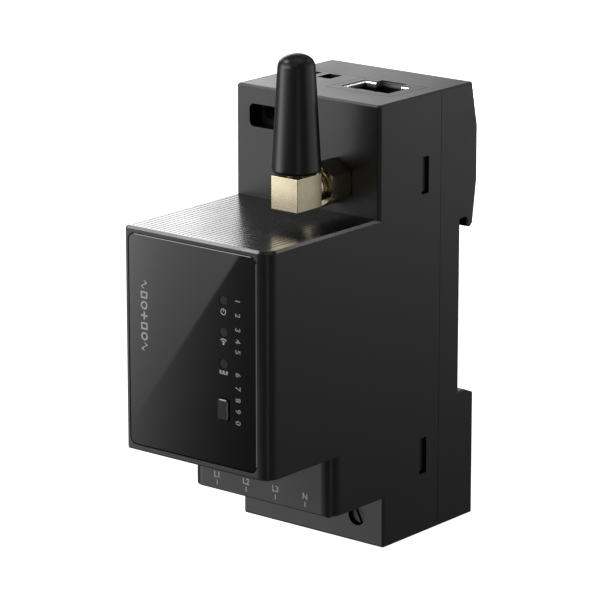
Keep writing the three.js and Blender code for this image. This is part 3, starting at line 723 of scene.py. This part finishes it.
def panel():
    """The glossy plate with its bright bevel and its openings."""
    piece = rounded_block("front_glass", PANEL_LOW, PANEL_HIGH, 1.6, "y", 8)
    bevel(piece, 0.24, 1, lambda m, d: abs(m.y - FRONT) < NEAR)
    cut(piece, *front_openings(LAMP_HOLE, 2))
    return smooth(piece, 28)


place_piece(panel(), PANEL, "housing", "panel_gloss", "front_panel")


def lens():
    """A light pipe: a slightly domed face, a straight stem and a flange behind the wall."""
    (low, high), (x, _, z) = span("light_pipe_1"), LAMPS[0]
    front = low[1]
    return smooth(turned("lens_1", [
        (0, front), (0.94, front + 0.01), (1.0, front + 0.07),
        (1.0, front + 2.0), (1.5, front + 2.0), (1.5, front + 2.8), (1.0, front + 2.8),
        (1.0, high[1]), (0, high[1]),
    ], "y", (x, z), 40))


first_lens = lens()
lenses = [first_lens] + [
    copied(first_lens, f"lens_{i + 1}", (0, 0, LAMPS[i][2] - LAMPS[0][2])) for i in (1, 2)]
for number, piece in enumerate(lenses, 1):
    place_piece(piece, LENS, "housing", "light_pipe", f"light_pipe_{number}")


def button():
    """The cap, the flange that holds it in and the stem behind."""
    low, high = span("reset_button")
    x, z = BUTTON[0], BUTTON[2]
    cap = rounded_block(
        "button_cap", (x - 1.25, low[1], z - 2.05), (x + 1.25, low[1] + 3.4, z + 2.05), 0.3, "y", 4)
    bevel(cap, 0.2, 1, lambda m, d: abs(m.y - low[1]) < NEAR)
    flange = rounded_block(
        "flange", (x - 1.85, FRONT + 2.1, z - 2.65), (x + 1.85, FRONT + 2.9, z + 2.65), 0.6, "y", 4)
    stem = rod("stem", 0.8, FRONT + 2.7, high[1], "y", (x, z), 24)
    combine(cap, "UNION", flange, stem)
    return smooth(tidy(cap))


place_piece(button(), BUTTON_CAP, "reset_button", "button_plastic", "reset_button")

INK_DEPTH = 0.02


def lettering(text, height, x, z, surface, turn=0.0):
    """Plain lettering printed on a surface that faces the front."""
    bpy.ops.object.text_add(location=(0, 0, 0))
    piece = bpy.context.object
    piece.data.body = text
    piece.data.align_x, piece.data.align_y = "CENTER", "CENTER"
    piece.data.size = height * 1.38 * MM
    piece.data.extrude = INK_DEPTH / 2 * MM
    piece.data.offset = 0.04 * MM
    piece.data.resolution_u = 4
    piece.rotation_euler = (math.pi / 2, turn, 0)
    piece.location = (x * MM, (surface - INK_DEPTH / 2) * MM, z * MM)
    only(piece)
    bpy.ops.object.convert(target="MESH")
    return tidy(settle(bpy.context.object, "letter"))


def ring_mark(x, z, radius, width, surface):
    outer = rod("ring", radius, surface - INK_DEPTH, surface, "y", (x, z), 32)
    inner = rod("inner", radius - width, surface - 1, surface + 1, "y", (x, z), 32)
    return cut(outer, inner)


def bar_mark(x0, x1, z0, z1, surface):
    return block("bar", (x0, surface - INK_DEPTH, z0), (x1, surface, z1))


def frame_mark(x, z, half_x, half_z, width, surface):
    outer = bar_mark(x - half_x, x + half_x, z - half_z, z + half_z, surface)
    inner = block("inner", (x - half_x + width, surface - 1, z - half_z + width),
                  (x + half_x - width, surface + 1, z + half_z - width))
    return cut(outer, inner)


def wave_mark(x, z, half, swing, width, surface):
    """One period of a sine, standing upright, as a printed ribbon."""
    steps = 16
    line = []
    for i in range(steps + 1):
        t = i / steps
        line.append((x + swing * math.sin(2 * math.pi * t), z + half - 2 * half * t))
    left = [(a - width / 2, surface, b) for a, b in line]
    right = [(a + width / 2, surface, b) for a, b in reversed(line)]
    return plate("wave", left + right, (0, -INK_DEPTH, 0))


def number_prints():
    """The column of numerals, each turned a quarter."""
    heights = (12.0, 9.2, 6.35, 4.1, 2.0, -2.5, -5.2, -7.5, -9.7, -12.0)
    return join(*[
        lettering(digit, 1.25, 10.5, z, FRONT, math.pi / 2) for digit, z in zip("1234567890", heights)])


def panel_prints():
    """The column of plain symbols and the three lamp icons."""
    marks = []
    column = PANEL_LOW[0] + 4.0
    for i, z in enumerate([11.4 - 2.07 * k for k in range(7)]):
        if i in (0, 6):
            marks.append(wave_mark(column, z, 0.78, 0.55, 0.4, FRONT))
        elif i in (1, 4):
            marks.append(frame_mark(column, z, 0.84, 0.72, 0.34, FRONT))
        elif i in (2, 5):
            marks.append(ring_mark(column, z, 0.84, 0.34, FRONT))
        else:
            marks.append(bar_mark(column - 0.84, column + 0.84, z - 0.18, z + 0.18, FRONT))
            marks.append(bar_mark(column - 0.18, column + 0.18, z + 0.18, z + 0.8, FRONT))
            marks.append(bar_mark(column - 0.18, column + 0.18, z - 0.8, z - 0.18, FRONT))
    x = LAMPS[0][0]
    # power: an open ring with a bar in its gap
    z = 9.4
    power = ring_mark(x, z, 0.68, 0.2, FRONT)
    gap = block("gap", (x - 0.24, FRONT - 1, z + 0.2), (x + 0.24, FRONT + 1, z + 1))
    marks.append(cut(power, gap))
    marks.append(bar_mark(x - 0.09, x + 0.09, z, z + 0.72, FRONT))
    # radio: a fan of two arcs over a dot
    z = 3.0
    for radius in (1.15, 0.7):
        arc = ring_mark(x, z, radius, 0.22, FRONT)
        wedge = plate("wedge", [
            (x - 2.2, FRONT - 1, z + 2.2), (x, FRONT - 1, z), (x + 2.2, FRONT - 1, z + 2.2)], (0, 2, 0))
        marks.append(combine(arc, "INTERSECT", wedge))
    marks.append(rod("dot", 0.24, FRONT - INK_DEPTH, FRONT, "y", (x, z + 0.1), 20))
    # data line: three nodes on one line
    z = -2.85
    marks.append(bar_mark(x - 0.95, x + 0.95, z - 0.08, z + 0.08, FRONT))
    for shift in (-0.8, 0, 0.8):
        marks.append(bar_mark(x + shift - 0.22, x + shift + 0.22, z + 0.12, z + 0.62, FRONT))
    return join(*marks)


def ledge_prints():
    """Terminal letters with a tick under each."""
    marks = []
    letters_z, tick_low, tick_high, half = -31.43, -33.5, -32.5, 0.13
    for text, x in zip(("L1", "L2", "L3", "N"), COLUMNS):
        marks.append(lettering(text, 1.27, x, letters_z, LEDGE_FRONT))
        marks.append(bar_mark(x - half, x + half, tick_low, tick_high, LEDGE_FRONT))
    return join(*marks)


for prints, name, ink in (
        (panel_prints(), "panel_prints", INK), (number_prints(), "number_prints", PALE_INK),
        (ledge_prints(), "terminal_marks", INK)):
    prints.name = prints.data.name = name
    place_piece(prints, ink, "housing", "light_pipe")


# ---- Antenna ----

def nut():
    """The hexagon nut: corners turned off at both ends and a bore for the jack."""
    flat = 4
    corner = flat / math.cos(math.pi / 6)
    x, z = ANTENNA_X, ANTENNA_Z
    hexagon = rod("coupling_nut", corner, NUT_LOW[1], NUT_HIGH[1], "y", (x, z), 6)
    chamfer = (corner - flat) * 0.35
    round_tool = turned("tool", [
        (0, NUT_LOW[1]), (4.05, NUT_LOW[1]), (corner, NUT_LOW[1] + chamfer),
        (corner, NUT_HIGH[1] - chamfer), (4.05, NUT_HIGH[1]), (0, NUT_HIGH[1])], "y", (x, z), 96)
    combine(hexagon, "INTERSECT", round_tool)
    bore = rod("bore", 3.3, NUT_LOW[1] + 0.8, NUT_HIGH[1] + 1, "y", (x, z), 64)
    collar = rod("collar", 2.6, NUT_LOW[1] - 1, NUT_HIGH[1], "y", (x, z), 64)
    combine(hexagon, "DIFFERENCE", bore, collar)
    return smooth(tidy(hexagon), 18)


place_piece(nut(), BRASS, "antenna_nut", "antenna_brass", "antenna_nut")


def washer():
    """The ring between nut and elbow, with two turned grooves."""
    low, high = span("antenna_ring")
    outer = high[0] - ANTENNA_X
    a, b = low[1], high[1]
    third = (b - a) / 3
    return smooth(turned("crimp_ring", [
        (2.4, a), (outer - 0.35, a), (outer - 0.05, a + 0.25), (outer, a + third - 0.1),
        (outer - 0.28, a + third), (outer - 0.28, a + third + 0.2), (outer, a + third + 0.3),
        (outer, a + 2 * third - 0.1), (outer - 0.28, a + 2 * third), (outer - 0.28, a + 2 * third + 0.2),
        (outer, a + 2 * third + 0.3), (outer - 0.15, b), (2.4, b), (2.4, a)],
        "y", (ANTENNA_X, ANTENNA_Z)))


place_piece(washer(), BRASS, "antenna", "antenna_brass", "antenna_ring")


def elbow():
    """The square elbow with its neck into the nut and its spigot up into the whip."""
    low, high = span("antenna_elbow")
    front, back = low[1], low[1] + 7.4
    bottom, top = ANTENNA_Z - 3.35, ANTENNA_Z + 3.35
    cube = block("brass_elbow", (low[0], front, bottom), (high[0], back, top))
    bevel(cube, 0.14, 3, lambda m, d: True)
    neck = rod("neck", 2.35, back - 0.5, high[1], "y", (ANTENNA_X, ANTENNA_Z), 48)
    head = rod("head", 3.0, NUT_LOW[1] + 0.9, high[1], "y", (ANTENNA_X, ANTENNA_Z), 48)
    spigot = rod("spigot", 2.2, top - 0.5, high[2], "z", (ANTENNA_X, (front + back) / 2), 48)
    combine(cube, "UNION", neck, head, spigot)
    return smooth(tidy(cube))


place_piece(elbow(), BRASS, "antenna", "antenna_brass", "antenna_elbow")


def whip():
    """The moulded whip: rounded foot, straight taper, a crisp shoulder and a low dome."""
    low, high = span("antenna_whip")
    x, y = (low[0] + high[0]) / 2, (low[1] + high[1]) / 2
    foot, tip = low[2], high[2]
    shoulder = tip - 2.2
    wide, narrow = (high[0] - low[0]) / 2, 3.65
    profile = [(0, foot + 4.0), (2.3, foot + 4.0), (2.3, foot)]
    profile += [
        (wide - 0.8 + 0.8 * math.sin(a), foot + 0.8 - 0.8 * math.cos(a))
        for a in [k / 6 * math.pi / 2 for k in range(7)]]
    profile += [(narrow + 0.02, shoulder - 0.25), (narrow - 0.03, shoulder)]
    profile += [
        (max(narrow * math.cos(a), 0) - 0.1 * math.cos(a), shoulder + 2.2 * math.sin(a))
        for a in [k / 12 * math.pi / 2 for k in range(1, 12)]]
    profile += [(0, tip)]
    return smooth(turned("antenna_sleeve", profile, "z", (x, y), 96), 24)


place_piece(whip(), RUBBER, "antenna", "antenna_rubber", "antenna_whip")


# ---- Screws ----

def screw(name, node):
    """A clamping screw: a chamfered head with a driver slot, and a turned thread."""
    low, high = span(node)
    x, _, z = middle(node)
    head = (high[0] - low[0]) / 2
    shank, head_length, pitch = (1.45, 1.1, 0.5) if head > 1.6 else (1.1, 1.2, 0.45)
    head_back = low[1] + head_length
    root = shank - 0.16
    profile = [(0, low[1]), (head - 0.25, low[1]), (head, low[1] + 0.25), (head, head_back)]
    turns = int((high[1] - head_back - 0.6) / pitch)
    profile.append((root, head_back))
    for i in range(turns):
        start = head_back + 0.2 + i * pitch
        profile += [(root, start), (shank, start + pitch * 0.4), (root, start + pitch * 0.8)]
    profile += [(shank - 0.3, high[1]), (0, high[1])]
    piece = turned(name, profile, "y", (x, z), 32)
    slot = block("slot", (-0.3, low[1] - 1, -3), (0.3, low[1] + 0.6, 3))
    only(slot)
    slot_turn = math.radians(28)
    bpy.ops.transform.rotate(value=slot_turn, orient_axis="Y", center_override=(0, 0, 0))
    bpy.ops.transform.translate(value=(x * MM, 0, z * MM))
    settle(slot)
    return smooth(cut(piece, slot))


for kind, count, sources in (("terminal", 4, COLUMNS), ("signal", 2, SIGNAL_COLUMNS)):
    first = screw(f"{kind}_driver_screw_1", f"{kind}_screw_1")
    made = [first] + [
        copied(first, f"{kind}_driver_screw_{i + 1}", (sources[i] - sources[0], 0, 0))
        for i in range(1, count)]
    for number, piece in enumerate(made, 1):
        place_piece(piece, DARK_STEEL, f"{kind}_screw_{number}", "screw_zinc", f"{kind}_screw_{number}")


# ---- Socket ----

def socket_sheet():
    """The drawn sheet that lines the socket, with its key for the catch."""
    low, high = span("socket_shield")
    shelf, key = -8.14, 3.5
    centre, thick, top = (low[0] + high[0]) / 2, 0.36, high[2]

    def tube(name, inset, bottom, lid):
        room = block(name, (low[0] + inset, low[1] + inset, bottom), (high[0] - inset, shelf - inset, lid))
        tab_lid = lid + 1 if inset else lid
        tab = block("tab", (centre - key + inset, shelf - 2, bottom),
                    (centre + key - inset, high[1] - inset, tab_lid))
        return combine(room, "UNION", tab)

    sheet = cut(tube("socket_sheet", 0.0, low[2], top), tube("inner", thick, low[2] + thick, top + 1))
    sides = (low[0] + thick, high[0] - thick)
    ends = (low[1] + thick, shelf - thick)
    near = lambda value, places: any(abs(value - place) < NEAR for place in places)
    bevel(sheet, 0.24, 1, lambda m, d: abs(m.z - top) < NEAR and (
        near(m.x, sides) if along(d, "y") else near(m.y, ends)))
    return smooth(tidy(sheet), 20)


place_piece(socket_sheet(), SOCKET_TIN, "housing", "shield_steel", "socket_shield")


# ---- Rear base ----

def rear_base():
    """The rear shell: rail slot, fixed hook, rooms inside, clip channel and snap tongues."""
    _, high = span("rear_base")
    front = -6.45
    jaw, hook = -18.14, 17.8
    profile = [
        (front, BOTTOM), (5.0, BOTTOM), (5.0, jaw - 1.12), (2.3, jaw), (0, jaw), (0, hook - 0.2),
        (1.8, hook), (2.4, hook - 0.5), (2.4, hook - 2), (3.3, hook - 2.3), (4.2, hook - 1.6),
        (high[1], hook + 7.3), (high[1], TOP - 9), (high[1] - 1.8, TOP), (front, TOP)]
    piece = plate("base_shell", [(-SIDE, y, z) for y, z in profile], (2 * SIDE, 0, 0))
    side_edge = lambda m: abs(abs(m.x) - SIDE) < NEAR
    bevel(piece, 0.4, 1, lambda m, d: side_edge(m) and abs(m.z - TOP) < NEAR)
    bevel(piece, 0.4, 2, lambda m, d: side_edge(m) and abs(m.z - BOTTOM) < NEAR)
    bevel(piece, 0.2, 2, lambda m, d: side_edge(m) and m.y > -NEAR and abs(m.z) < TOP - 0.5)
    inside = SIDE - WALL
    rooms = [
        block("tray", (-inside, front - 1, BOTTOM + WALL), (inside, -2, TOP - WALL)),
        block("pocket", (-inside, -2.5, hook + WALL), (inside, high[1] - 2.2, TOP - WALL)),
    ]
    socket_low, socket_high = span("socket_body")
    rooms.append(block(
        "relief", (socket_low[0] - FIT, front - 2, TOP - 3),
        (socket_high[0] + FIT, socket_high[1] + FIT, socket_high[2] + 0.01)))
    clip_low, clip_high = span("rail_clip")
    rooms.append(block(
        "channel", (clip_low[0] - 0.3, clip_low[1] - 0.3, BOTTOM - 1),
        (clip_high[0] + 0.3, clip_high[1] + 0.3, jaw + 1)))
    for room in rooms:
        combine(piece, "DIFFERENCE", room)
    combine(piece, "DIFFERENCE", *socket_window(socket_high[2] - 1))
    stop = block("stop", (-1.2, clip_low[1] - 0.8, BOTTOM + 4.5), (1.2, clip_high[1] + 0.8, BOTTOM + 5.7))
    tongues = [tongue(across, up) for across in (-1, 1) for up in (-1, 1)]
    combine(piece, "UNION", stop, *tongues)
    return smooth(soften(tidy(piece), 0.1), 22)


def tongue(across, up):
    """A snap tongue whose hook shows in the window of the front shell."""
    centre_z = up * 28.8
    half = 3.4

    def part(name, x0, x1, y0, y1):
        low_x, high_x = sorted((x0 * across, x1 * across))
        return block(name, (low_x, y0, centre_z - half), (high_x, y1, centre_z + half))

    arm = part("arm", 14.35, 15.65, -15.0, -3.0)
    root = part("root", 14.3, 16.5, -6.2, -2.9)
    hook = part("hook", 15.4, 17.3, -12.58, -10.62)
    return combine(arm, "UNION", root, hook)


place_piece(rear_base(), BASE, "housing", "housing_plastic", "rear_base")


# ---- Clip spring ----

def coil():
    """The coil behind the clip."""
    only(frame["nodes"]["clip_spring"])
    bpy.ops.object.duplicate(linked=False)
    piece = settle(bpy.context.object, "return_coil")
    return smooth(tidy(piece), 60)


coil_piece = coil()
place_piece(coil_piece, SPRING, "housing", "spring_steel", "clip_spring")
coil_low, coil_high = span("clip_spring")
slide = next(joint for joint in frame["joints"] if joint["name"] == CLIP_JOINT)
travel = max(abs(limit) for limit in slide["range_m"]) / MM
1 - travel / (coil_high[2] - coil_low[2]) - 0.01
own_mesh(coil_piece)


# ---- Studio ----

def floor_paper():
    """Pale paper, lit evenly from behind, that only shows from above."""
    finish = Finish("floor_paper", Roughness=0.9, Emission_Color=grey(1.0), Emission_Strength=0.95)
    clouds = finish.noise(0.004, 2.0)
    finish.set(
        Base_Color=finish.mix(clouds, grey(0.9), grey(0.87)),
        Alpha=1.0 - finish.node("NewGeometry", output="Backfacing"))
    return finish.material


def floor():
    low, _ = frame_bounds
    bpy.ops.mesh.primitive_plane_add(size=6, location=(0, 0, low[2] - (travel + 0.2) * MM))
    piece = settle(bpy.context.object, "floor")
    piece.data.materials.append(floor_paper())
    piece.visible_glossy = False
    piece.visible_diffuse = False


def softbox(name, place, target, size, radiance, diffuse=True, glossy=True):
    """A rectangular soft light. Radiance is what a mirror would show of it."""
    data = bpy.data.lights.new(name, "AREA")
    data.shape, data.size, data.size_y = "RECTANGLE", size[0] * MM, size[1] * MM
    data.energy = radiance * 4 * data.size * data.size_y
    lamp = bpy.data.objects.new(name, data)
    bpy.context.scene.collection.objects.link(lamp)
    lamp.location = Vector(place) * MM
    aim = Vector(target) - Vector(place)
    lamp.rotation_euler = aim.to_track_quat("-Z", "Y").to_euler()
    lamp.visible_camera = False
    lamp.visible_diffuse = diffuse
    lamp.visible_glossy = glossy


def shine_card(name, centre, size, turn, glow):
    """A glowing card that only shows in glossy surfaces. Glow gives its radiance."""
    bpy.ops.mesh.primitive_plane_add(size=1, location=[v * MM for v in centre], rotation=turn)
    card = bpy.context.object
    card.scale = (size[0] * MM, size[1] * MM, 1)
    settle(card, name)
    finish = Finish(name, Roughness=1.0, Base_Color=grey(0.0))
    level = glow(finish, [axis * (1 / MM) for axis in finish.split()])
    finish.set(Emission_Color=finish.node("CombineColor", Red=level, Green=level, Blue=level))
    finish.shader.inputs["Emission Strength"].default_value = 1.0
    card.data.materials.append(finish.material)
    card.visible_camera = card.visible_diffuse = card.visible_shadow = False


CARD_BACK, CARD_RIGHT = 200.0, 218.0    # how far in front of and beside the meter the cards stand
EYE = (432.4, -560.3, 188.5)            # the camera's place, from which the cards are laid out
FRONT_GAIN, SIDE_GAIN = 18.0, 14.5


def front_glow(finish, place):
    """Brighter to the left and up, with one slanting edge across the panel."""
    stretch = (FRONT - EYE[1] + CARD_BACK) / (FRONT - EYE[1])
    u = (place[0] - EYE[0]) * (1 / stretch) + EYE[0]
    v = (place[2] - EYE[2]) * (1 / stretch) + EYE[2]
    u_held = u.math("MAXIMUM", u, -22.0)
    v_held = v.math("MINIMUM", v.math("MAXIMUM", v, -40.0), 20.0)
    base = u.math("EXPONENT", u_held * -0.075 + v_held * 0.0165 + 0.132) * 0.0208
    across = (10.9 - u) * 0.81 + (v - 20.9) * 0.586
    step = finish.ramp(across, -0.25, 0.25)
    rise = (u_held * 0.001 + v_held * 0.0006 + 0.0301).kept()
    low = finish.ramp(v, -23.0, -33.0)
    high = finish.ramp(v, 85.0, 115.0)
    return (base + step * rise + low * 0.085 + high * 0.15) * FRONT_GAIN


def side_glow(finish, place):
    """Brighter to the back and up, for the right-hand faces."""
    mirrored = 2 * SIDE - EYE[0]
    stretch = (CARD_RIGHT - mirrored) / (SIDE - mirrored)
    y = (place[1] - EYE[1]) * (1 / stretch) + EYE[1]
    z = (place[2] - EYE[2]) * (1 / stretch) + EYE[2]
    y_held = y.math("MINIMUM", y.math("MAXIMUM", y, -70.0), 20.0)
    z_held = z.math("MINIMUM", z.math("MAXIMUM", z, -60.0), 60.0)
    return y.math("EXPONENT", z_held * 0.0215 + y_held * 0.0085) * 0.0265 * SIDE_GAIN


def world():
    """White where the camera looks past the meter, and a dim even grey as light."""
    scene_world = bpy.data.worlds.new("studio")
    bpy.context.scene.world = scene_world
    scene_world.use_nodes = True
    tree = scene_world.node_tree
    background = tree.nodes["Background"]
    path = tree.nodes.new("ShaderNodeLightPath")
    mix = tree.nodes.new("ShaderNodeMix")
    mix.data_type = "RGBA"
    mix.inputs[6].default_value = grey(0.14)
    mix.inputs[7].default_value = grey(1.0)
    tree.links.new(path.outputs["Is Camera Ray"], mix.inputs[0])
    tree.links.new(mix.outputs[2], background.inputs["Color"])


def camera():
    """A long lens, from the front right and a little above."""
    azimuth, elevation, distance = math.radians(39.11), math.radians(15.07), 710.1
    target = Vector((0, -28.4, 3.9))
    back = Vector((
        math.sin(azimuth) * math.cos(elevation), -math.cos(azimuth) * math.cos(elevation),
        math.sin(elevation)))
    data = bpy.data.cameras.new("camera")
    data.lens, data.sensor_width, data.clip_start, data.clip_end = 215.9, 36, 0.01, 20
    made = bpy.data.objects.new("camera", data)
    bpy.context.scene.collection.objects.link(made)
    made.location = (target + back * distance) * MM
    made.rotation_euler = (-back).to_track_quat("-Z", "Y").to_euler()
    bpy.context.scene.camera = made


world()
camera()
floor()
shine_card("front_card", (-250, FRONT - CARD_BACK, -50), (500, 400), (math.pi / 2, 0, 0), front_glow)
shine_card("side_card", (CARD_RIGHT, 250, -50), (400, 500), (0, math.pi / 2, 0), side_glow)
softbox("back_left", (-590, 385, 190), (0, -30, 30), (340, 280), 2.9)
softbox("back_middle", (-410, 430, 160), (0, -30, 30), (170, 180), 1.5, diffuse=False)
softbox("overhead", (60, -20, 420), (0, -20, 0), (300, 300), 0.4)
softbox("top_left", (-305, -190, 397), (0, -60, 22), (130, 130), 9.0, diffuse=False)
softbox("top_front", (192, -367, 373), (15, -60, 21), (120, 120), 0.9, diffuse=False)
softbox("right_strip", (315, -304, -104), (15, -60, 0), (40, 240), 2.0, diffuse=False)
softbox("back_top", (174, 420, 420), (18, -30, 30), (80, 60), 4.5, diffuse=False)
softbox("left_front", (-420, -380, 40), (0, -40, 10), (300, 320), 3.0, glossy=False)
softbox("rear_fill", (-170, 420, -18), (0, 0, -18), (320, 56), 13.0, glossy=False)
bpy.context.scene.view_settings.view_transform = "Standard"
